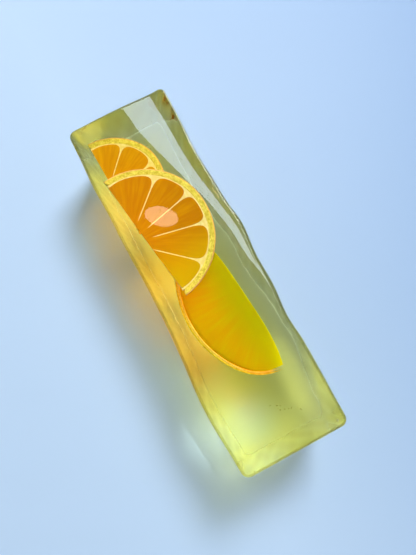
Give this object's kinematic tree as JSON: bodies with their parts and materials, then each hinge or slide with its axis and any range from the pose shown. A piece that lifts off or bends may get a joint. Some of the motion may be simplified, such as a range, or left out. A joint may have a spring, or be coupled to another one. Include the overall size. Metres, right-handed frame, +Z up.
{
  "type": "ice pop",
  "caption": "Clear yellow citrus ice bar without a stick, with softly wavy sides and orange slices sunk in it, lying flat.",
  "frame": {"origin": "on the flat base, under the middle of the bar's box", "axes": "+X along the bar towards the end with no fruit near it, +Y across it, +Z up out of the base"},
  "size_m": [0.1517, 0.0468, 0.034],
  "materials": {
    "clear_ice": "wet, glossy, yellow-green tinted clear ice",
    "orange_flesh": "moist orange segments, seen through the ice",
    "pale_pith": "soft pale pith and skins between the segments",
    "yellow_peel": "thin pored peel"
  },
  "bodies": {
    "root": {"ice_bar": "clear_ice"}
  },
  "joints": []
}
